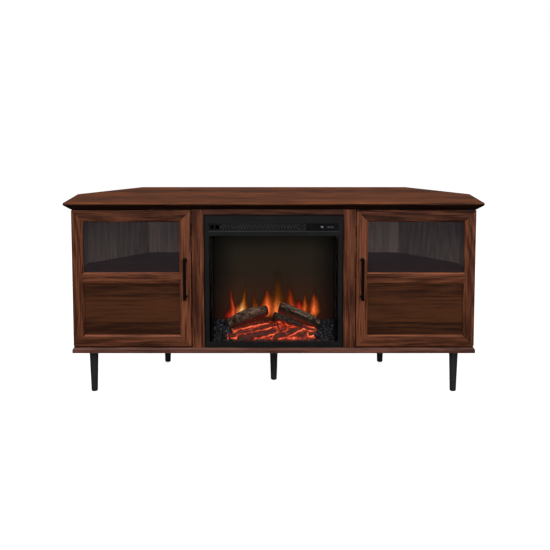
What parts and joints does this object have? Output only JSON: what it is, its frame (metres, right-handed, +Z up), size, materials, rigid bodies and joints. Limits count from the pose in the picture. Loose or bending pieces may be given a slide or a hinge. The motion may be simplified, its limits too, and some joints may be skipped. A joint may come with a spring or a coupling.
{
  "type": "fireplace tv stand",
  "caption": "Corner television stand in dark walnut with a glazed and panelled door at each end, adjustable shelves, tapered legs and an electric fire in the middle bay.",
  "frame": {"origin": "on the floor under the middle of the whole stand's box, handles included", "axes": "+X to the viewer's right along the front, +Y towards the wall, +Z up"},
  "size_m": [1.372, 0.413, 0.65],
  "materials": {
    "walnut_veneer": "satin veneer, dark walnut",
    "dark_walnut_veneer": "satin veneer, darker walnut",
    "black_metal": "black powder coat",
    "steel": "zinc plated",
    "black_plastic": "satin black",
    "grey_plastic": "grey",
    "galvanised_steel": "galvanised",
    "tinted_glass": "lightly smoked, polished",
    "fire_glass": "clear, polished",
    "smoked_screen": "smoked, satin",
    "mirror_foil": "bright",
    "glowing_resin": "cast resin lit from below",
    "charred_resin": "cast resin, bark texture"
  },
  "bodies": {
    "cabinet": {"top_panel": "walnut_veneer", "base_panel": "walnut_veneer", "back_panel": "walnut_veneer", "bay_rail": "walnut_veneer", "front_left_leg": "black_metal", "front_right_leg": "black_metal", "centre_leg": "black_metal", "rear_left_leg": "black_metal", "rear_right_leg": "black_metal", "right_side_panel": "walnut_veneer", "right_slanted_panel": "walnut_veneer", "right_divider_panel": "walnut_veneer", "right_front_stile": "walnut_veneer", "right_shelf": "walnut_veneer", "right_upper_board_leaf": "steel", "right_lower_board_leaf": "steel", "right_door_catch": "black_plastic", "left_side_panel": "walnut_veneer", "left_slanted_panel": "walnut_veneer", "left_divider_panel": "walnut_veneer", "left_front_stile": "walnut_veneer", "left_shelf": "walnut_veneer", "left_upper_board_leaf": "steel", "left_lower_board_leaf": "steel", "left_door_catch": "black_plastic", "insert_case": "black_metal", "insert_bezel": "black_plastic", "insert_glass": "fire_glass", "outlet_grille": "black_metal", "control_panel": "black_plastic", "blower_housing": "galvanised_steel", "flame_screen": "smoked_screen", "rotor_motor": "black_plastic", "ember_bed": "glowing_resin", "left_log": "charred_resin", "right_log": "charred_resin"},
    "left_door": {"left_door_outer_stile": "walnut_veneer", "left_door_inner_stile": "walnut_veneer", "left_door_top_rail": "walnut_veneer", "left_door_bottom_rail": "walnut_veneer", "left_door_middle_rail": "walnut_veneer", "left_door_panel": "dark_walnut_veneer", "left_door_glass": "tinted_glass", "left_door_handle": "black_metal", "left_upper_door_leaf": "steel", "left_lower_door_leaf": "steel"},
    "right_door": {"right_door_outer_stile": "walnut_veneer", "right_door_inner_stile": "walnut_veneer", "right_door_top_rail": "walnut_veneer", "right_door_bottom_rail": "walnut_veneer", "right_door_middle_rail": "walnut_veneer", "right_door_panel": "dark_walnut_veneer", "right_door_glass": "tinted_glass", "right_door_handle": "black_metal", "right_upper_door_leaf": "steel", "right_lower_door_leaf": "steel"},
    "power_button": {"power_button": "grey_plastic"},
    "heat_button": {"heat_button": "grey_plastic"},
    "flame_rotor": {"flame_rotor": "mirror_foil"},
    "blower_wheel": {"blower_wheel": "galvanised_steel"}
  },
  "joints": [
    {"name": "right_door_hinge", "type": "hinge", "parent": "cabinet", "child": "right_door", "pos_m": [0.659, -0.1695, 0.3935], "axis": [0, 0, 1], "range_deg": [0, 110]},
    {"name": "left_door_hinge", "type": "hinge", "parent": "cabinet", "child": "left_door", "pos_m": [-0.659, -0.1695, 0.3935], "axis": [0, 0, -1], "range_deg": [0, 110]},
    {"name": "power_button_press", "type": "slide", "parent": "cabinet", "child": "power_button", "axis": [0, 1, 0], "range_m": [0, 0.001], "stiffness_N_per_m": 800, "springref_m": -0.0005},
    {"name": "heat_button_press", "type": "slide", "parent": "cabinet", "child": "heat_button", "axis": [0, 1, 0], "range_m": [0, 0.001], "stiffness_N_per_m": 800, "springref_m": -0.0005},
    {"name": "flame_rotor_spin", "type": "hinge", "parent": "cabinet", "child": "flame_rotor", "pos_m": [0, -0.0635, 0.2073], "axis": [1, 0, 0], "continuous": true},
    {"name": "blower_spin", "type": "hinge", "parent": "cabinet", "child": "blower_wheel", "pos_m": [-0.045, -0.1095, 0.5693], "axis": [1, 0, 0], "continuous": true}
  ]
}
